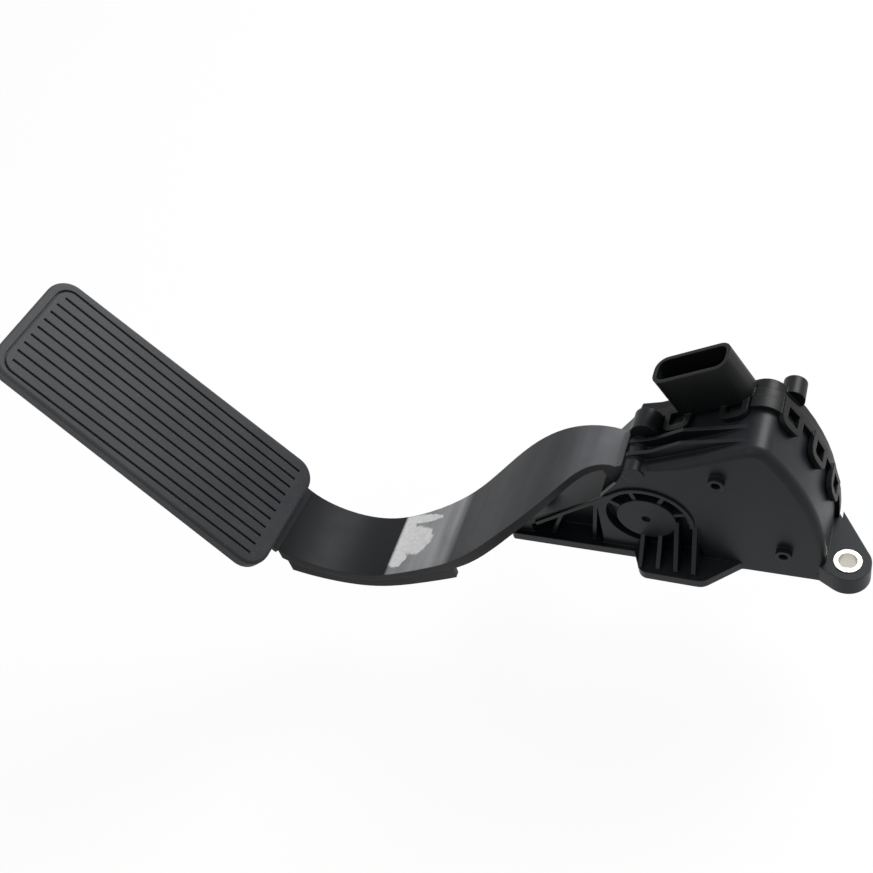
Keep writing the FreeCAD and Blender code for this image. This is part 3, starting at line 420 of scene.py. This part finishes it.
# Circuit board and its parts: green solder mask over woven glass, black epoxy chips and tan
# ceramic capacitors soldered on it, tinned brass blades and etched copper on the rotor.
def board_finish(name, base, fleck, roughness, cell_mm, metal):
    """Plain finish flecked in small cells."""
    made, tree, shader = new_material(name)
    place = add(tree, "ShaderNodeTexCoord").outputs["Object"]
    weave = add(tree, "ShaderNodeTexVoronoi", {"Vector": place, "Scale": per_mm(cell_mm)})
    tone = add(tree, "ShaderNodeMix",
               {"Factor": weave.outputs["Distance"], "A": linear(base), "B": linear(fleck)},
               data_type="RGBA")
    tree.links.new(tone.outputs["Result"], shader.inputs["Base Color"])
    shader.inputs["Roughness"].default_value = roughness
    shader.inputs["Metallic"].default_value = metal
    return made


dress("circuit_board", board_finish("green_solder_mask", "#0f4a26", "#1c6a3a", 0.35, 0.8, 0.0))
dress("sensor_chips", board_finish("black_epoxy", "#141414", "#222222", 0.55, 0.3, 0.0))
dress("capacitors", board_finish("fired_ceramic", "#8f6f47", "#a98a60", 0.5, 0.3, 0.0))
tinned_brass = board_finish("tinned_brass", "#b9b095", "#cfc8b4", 0.3, 0.5, 1.0)
dress("terminal_pins", tinned_brass)
dress("rotor_loop", board_finish("etched_copper", "#b5683c", "#c98056", 0.35, 0.5, 1.0))


# Terminal blades: six tinned strips in the socket, set to the shroud that the scene makes, with
# feet down to the board. They are cut strips, so they are plain bars.
blade_count, blade_pitch, blade_middle, blade_half = 6, 3.6, 25.2, 0.7
blade_low, blade_height, step_low, step_height = -8.0, 20.0, -8.6, 0.7

blades = bmesh.new()
for i in range(blade_count):
    along = blade_middle + (i - (blade_count - 1) / 2) * blade_pitch
    ends = (along - blade_half, along + blade_half)
    mould(blades, bar(*ends, 16.45, 17.15, 0.2), top_frame(0, blade_low), blade_height)
    mould(blades, bar(*ends, 15.0, 17.15, 0.2), top_frame(0, step_low), step_height)
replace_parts(moulding("terminal_blades", blades, tinned_brass), "terminal_pins")


# Arm: one S-shaped moulding of the same nylon. Shoes have greyed its upper side, most on the
# short rise ahead of the pad, where the skin is scraped to a chalky patch that stops sharply
# at the crease. The grey on upward faces is partly painted sheen, the stretch from the rise to
# the hub is painted lighter for the light on it, and the bend by the hub has a painted sheen.
crease_x = -103.2 * MM
rise_end_x = -73.0 * MM
# Painted sheen: x range, in millimetres, of the pale band on the bend by the hub.
painted_sheen_x = (-34.0, -12.0)
scrapes = (
    ((-94.5, -14.6), (9.8, 2.3)),
    ((-101.0, -22.0), (4.8, 9.0)),
    ((-94.0, -25.5), (8.4, 7.6)),
    ((-100.0, -34.2), (4.8, 4.6)))


def worn_nylon_with_painted_light(name):
    """Grey-black nylon in four tones along the arm, two of them painted light and painted sheen,
    with cross streaks and a scraped patch.
    """
    made, tree, shader = new_material(name)
    place = add(tree, "ShaderNodeTexCoord").outputs["Object"]
    spot = add(tree, "ShaderNodeSeparateXYZ", {"Vector": place})
    grain = add(tree, "ShaderNodeTexNoise",
                {"Vector": place, "Scale": per_mm(0.8), "Detail": 3.0})
    cloud = add(tree, "ShaderNodeTexNoise",
                {"Vector": place, "Scale": per_mm(22), "Detail": 7.0, "Roughness": 0.65})
    rounded, rub_and_painted_highlight = edge_wear_and_painted_highlight(tree, place, 0.5 * MM)
    # Upward faces get the grey tones below, partly dust and shoe wear, partly painted sheen; the
    # sides keep the dark base.
    facing = add(tree, "ShaderNodeSeparateXYZ", {"Vector": rounded})
    upward = add(tree, "ShaderNodeMapRange",
                 {"Value": facing.outputs["Z"], "From Min": 0.1, "From Max": 0.6})

    past_crease = add(tree, "ShaderNodeMapRange",
                      {"Value": spot.outputs["X"], "From Min": crease_x,
                       "From Max": crease_x + 1.4 * MM})
    # Painted light: from the end of the rise to the hub the upper side is painted a lighter grey
    # than the flat by the pad, for the light that falls on that stretch.
    painted_light_past_rise = add(tree, "ShaderNodeMapRange",
                    {"Value": spot.outputs["X"], "From Min": rise_end_x - 3 * MM,
                     "From Max": rise_end_x + 1.5 * MM})
    low_tone = add(tree, "ShaderNodeMix",
                   {"Factor": past_crease.outputs[0], "A": linear("#1a1b1d"),
                    "B": linear("#8e8f91")}, data_type="RGBA")
    painted_light_tone = add(tree, "ShaderNodeMix",
                   {"Factor": painted_light_past_rise.outputs[0], "A": low_tone.outputs["Result"],
                    "B": linear("#38393b")}, data_type="RGBA")
    # Painted sheen: the bend by the hub is painted pale grey where the key lamp's reflection
    # falls.
    painted_sheen_on_bend = add(tree, "ShaderNodeMapRange",
                  {"Value": spot.outputs["X"], "From Min": painted_sheen_x[0] * MM,
                   "From Max": painted_sheen_x[1] * MM})
    painted_sheen_tone = add(tree, "ShaderNodeMix",
                    {"Factor": painted_sheen_on_bend.outputs[0], "A": painted_light_tone.outputs["Result"],
                     "B": linear("#626366")}, data_type="RGBA")
    across = add(tree, "ShaderNodeMapping", {"Vector": place, "Scale": (1.0, 0.12, 1.0)})
    streak = add(tree, "ShaderNodeTexNoise",
                 {"Vector": across.outputs[0], "Scale": per_mm(6), "Detail": 4.0})
    uneven = add(tree, "ShaderNodeMath",
                 {0: streak.outputs["Fac"], 1: cloud.outputs["Fac"]}, operation="ADD")
    settle = add(tree, "ShaderNodeMapRange",
                 {"Value": uneven.outputs[0], "From Min": 0.7, "From Max": 1.25, "To Min": 0.6,
                  "To Max": 1.0})
    amount = add(tree, "ShaderNodeMath",
                 {0: upward.outputs[0], 1: settle.outputs[0]}, operation="MULTIPLY")
    tint = add(tree, "ShaderNodeMix",
               {"Factor": amount.outputs[0], "A": linear("#131417"),
                "B": painted_sheen_tone.outputs["Result"]}, data_type="RGBA")
    # Edge grey: partly rubbing, partly painted highlight.
    rub_and_highlight_share = add(tree, "ShaderNodeMath", {0: rub_and_painted_highlight, 1: 0.3}, operation="MULTIPLY")
    edged = add(tree, "ShaderNodeMix",
                {"Factor": rub_and_highlight_share.outputs[0], "A": tint.outputs["Result"], "B": linear("#5a5b5e")},
                data_type="RGBA")

    nearest = None
    for middle, reach in scrapes:
        around = add(tree, "ShaderNodeMapping",
                     {"Vector": place, "Location": (middle[0] * MM, middle[1] * MM, 0),
                      "Scale": (reach[0] * MM, reach[1] * MM, 1)}, vector_type="TEXTURE")
        far = add(tree, "ShaderNodeVectorMath",
                  {0: around.outputs[0]}, operation="LENGTH").outputs["Value"]
        if nearest is None:
            nearest = far
        else:
            nearest = add(tree, "ShaderNodeMath",
                          {0: nearest, 1: far}, operation="MINIMUM").outputs[0]
    flake = add(tree, "ShaderNodeTexNoise",
                {"Vector": place, "Scale": per_mm(4.5), "Detail": 6.0, "Roughness": 0.65})
    ragged = add(tree, "ShaderNodeMath", {0: nearest, 1: flake.outputs["Fac"]}, operation="ADD")
    patch = add(tree, "ShaderNodeMapRange",
                {"Value": ragged.outputs[0], "From Min": 1.5, "From Max": 1.36})
    cut = add(tree, "ShaderNodeMath",
              {0: patch.outputs[0], 1: past_crease.outputs[0]}, operation="MULTIPLY")
    scraped = add(tree, "ShaderNodeMath",
                  {0: cut.outputs[0], 1: upward.outputs[0]}, operation="MULTIPLY")
    chalk = add(tree, "ShaderNodeTexNoise",
                {"Vector": place, "Scale": per_mm(1.6), "Detail": 5.0})
    chalk_tone = add(tree, "ShaderNodeMix",
                     {"Factor": chalk.outputs["Fac"], "A": linear("#b0b0b1"),
                      "B": linear("#dcdcdd")}, data_type="RGBA")
    final = add(tree, "ShaderNodeMix",
                {"Factor": scraped.outputs[0], "A": edged.outputs["Result"],
                 "B": chalk_tone.outputs["Result"]}, data_type="RGBA")
    tree.links.new(final.outputs["Result"], shader.inputs["Base Color"])
    matt = add(tree, "ShaderNodeMapRange",
               {"Value": cloud.outputs["Fac"], "From Min": 0.3, "From Max": 0.7, "To Min": 0.42,
                "To Max": 0.56})
    tree.links.new(matt.outputs[0], shader.inputs["Roughness"])
    bump = add(tree, "ShaderNodeBump",
               {"Height": grain.outputs["Fac"], "Strength": 0.3, "Distance": 0.08 * MM,
                "Normal": rounded})
    tree.links.new(bump.outputs[0], shader.inputs["Normal"])
    shader.inputs["IOR"].default_value = 1.53
    shader.inputs["Specular IOR Level"].default_value = 0.13
    return made


dress("pedal_arm", worn_nylon_with_painted_light("worn_arm_nylon_painted_light"))


# Pad: dark grey rubber, compression moulded with long tread grooves and held by knobs through
# the end of the arm. Its skin is matt with a fine dusty bloom, and a painted light gradient
# makes it palest towards the tip.
def tread_rubber(name):
    """Matt rubber with a painted light gradient paler to the tip, dusty specks, and edges greyed
    partly by rubbing and partly by painted highlight.
    """
    made, tree, shader = new_material(name)
    place = add(tree, "ShaderNodeTexCoord").outputs["Object"]
    spot = add(tree, "ShaderNodeSeparateXYZ", {"Vector": place})
    grain = add(tree, "ShaderNodeTexNoise",
                {"Vector": place, "Scale": per_mm(0.6), "Detail": 3.0})
    cloud = add(tree, "ShaderNodeTexNoise",
                {"Vector": place, "Scale": per_mm(30), "Detail": 7.0, "Roughness": 0.6})
    low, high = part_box("pedal_pad")
    # Painted light: the tone rises from root to tip, standing in for how the lamps light the pad.
    painted_light_to_tip = add(tree, "ShaderNodeMapRange",
                 {"Value": spot.outputs["X"], "From Min": high.x, "From Max": low.x})
    mottle_and_painted_light = add(tree, "ShaderNodeMath",
                 {0: cloud.outputs["Fac"], 1: painted_light_to_tip.outputs[0]}, operation="ADD")
    mottle_and_light_share = add(tree, "ShaderNodeMapRange",
                 {"Value": mottle_and_painted_light.outputs[0], "From Min": 0.4, "From Max": 1.4})
    tone = add(tree, "ShaderNodeMix",
               {"Factor": mottle_and_light_share.outputs[0], "A": linear("#1c1e22"), "B": linear("#3d3e40")},
               data_type="RGBA")
    speck = add(tree, "ShaderNodeMapRange",
                {"Value": grain.outputs["Fac"], "From Min": 0.62, "From Max": 0.75})
    rounded, rub_and_painted_highlight = edge_wear_and_painted_highlight(tree, place, 0.35 * MM)
    # Dusty specks are real dust; the edge share is partly rubbing and partly a painted highlight.
    specks_and_painted_highlight = add(tree, "ShaderNodeMath", {0: speck.outputs[0], 1: rub_and_painted_highlight}, operation="ADD")
    dust_and_painted_highlight = add(tree, "ShaderNodeMath", {0: specks_and_painted_highlight.outputs[0], 1: 0.3}, operation="MULTIPLY")
    bloom_and_painted_highlight = add(tree, "ShaderNodeMix",
                {"Factor": dust_and_painted_highlight.outputs[0], "A": tone.outputs["Result"],
                 "B": linear("#77777a")}, data_type="RGBA")
    tree.links.new(bloom_and_painted_highlight.outputs["Result"], shader.inputs["Base Color"])
    bump = add(tree, "ShaderNodeBump",
               {"Height": grain.outputs["Fac"], "Strength": 0.35, "Distance": 0.08 * MM,
                "Normal": rounded})
    tree.links.new(bump.outputs[0], shader.inputs["Normal"])
    shader.inputs["Roughness"].default_value = 0.62
    shader.inputs["Specular IOR Level"].default_value = 0.25
    return made


dress("pedal_pad", tread_rubber("grey_black_tread_rubber"))


# Stage: a pale floor that the pedal clears at full travel, two soft lamps and a white surround.
# The floor and the surround show white to the eye and in reflections, and the floor keeps a
# faint shadow.
floor_drop = 45 * MM
floor_mesh = bpy.data.meshes.new("floor")
plane = bmesh.new()
bmesh.ops.create_grid(plane, x_segments=1, y_segments=1, size=6.0)
bmesh.ops.translate(plane, verts=plane.verts, vec=(0, 0, cad_box[0][2] - floor_drop))
plane.to_mesh(floor_mesh)
plane.free()
floor = bpy.data.objects.new("floor", floor_mesh)
bpy.context.scene.collection.objects.link(floor)


def seen_directly(tree):
    """1 for rays that show a surface to the eye, straight, by reflection or through glass."""
    path = add(tree, "ShaderNodeLightPath")
    seen = path.outputs["Is Camera Ray"]
    for kind in ("Is Glossy Ray", "Is Transmission Ray"):
        seen = add(tree, "ShaderNodeMath",
                   {0: seen, 1: path.outputs[kind]}, operation="MAXIMUM").outputs[0]
    return seen


floor_paint, tree, shader = new_material("pale_floor")
shader.inputs["Base Color"].default_value = linear("#f2f2f2")
shader.inputs["Roughness"].default_value = 0.9
glow = add(tree, "ShaderNodeEmission", {"Color": (1, 1, 1, 1), "Strength": 1.0})
share = add(tree, "ShaderNodeMath", {0: seen_directly(tree), 1: 0.92}, operation="MULTIPLY")
blend = add(tree, "ShaderNodeMixShader",
            {0: share.outputs[0], 1: shader.outputs[0], 2: glow.outputs[0]})
tree.links.new(blend.outputs[0], tree.nodes["Material Output"].inputs[0])
floor_mesh.materials.append(floor_paint)

world = bpy.data.worlds.new("white_surround")
bpy.context.scene.world = world
world.use_nodes = True
tree = world.node_tree
tree.nodes.clear()
strength = add(tree, "ShaderNodeMapRange",
               {"Value": seen_directly(tree), "To Min": 0.45, "To Max": 1.0})
sky = add(tree, "ShaderNodeBackground", {"Color": (1, 1, 1, 1), "Strength": strength.outputs[0]})
add(tree, "ShaderNodeOutputWorld", {"Surface": sky.outputs[0]})

for name, spot, aim, power, size in (
        ("key_softbox", (0.4, 0.75, 0.8), (-0.03, -0.01, 0.04), 14.0, 0.6),
        ("fill_softbox", (-0.45, -0.75, 0.8), (-0.1, -0.02, 0.04), 2.0, 0.8)):
    lamp = bpy.data.lights.new(name, "AREA")
    lamp.energy = power
    lamp.size = size
    holder = bpy.data.objects.new(name, lamp)
    bpy.context.scene.collection.objects.link(holder)
    holder.location = spot
    holder.rotation_euler = (Vector(aim) - Vector(spot)).to_track_quat("-Z", "Y").to_euler()


# Camera at the photograph's angle: it looks down and across at the open side of the part.
right = Vector((0.9204, 0.3222, -0.2215))
upward = Vector((-0.1142, 0.7634, 0.6358))
back = right.cross(upward).normalized()
upward = back.cross(right).normalized()
right.normalize()
eye = Vector((92.3, -265.1, 394.0)) * MM
lens = bpy.data.cameras.new("camera")
lens.sensor_width = 36.0
lens.lens = 1200 / 873 * lens.sensor_width
lens.clip_start = 0.01
camera = bpy.data.objects.new("camera", lens)
camera.matrix_world = Matrix((
    (right.x, upward.x, back.x, eye.x),
    (right.y, upward.y, back.y, eye.y),
    (right.z, upward.z, back.z, eye.z),
    (0, 0, 0, 1)))
bpy.context.scene.collection.objects.link(camera)
bpy.context.scene.camera = camera
bpy.context.scene.view_settings.view_transform = "Standard"
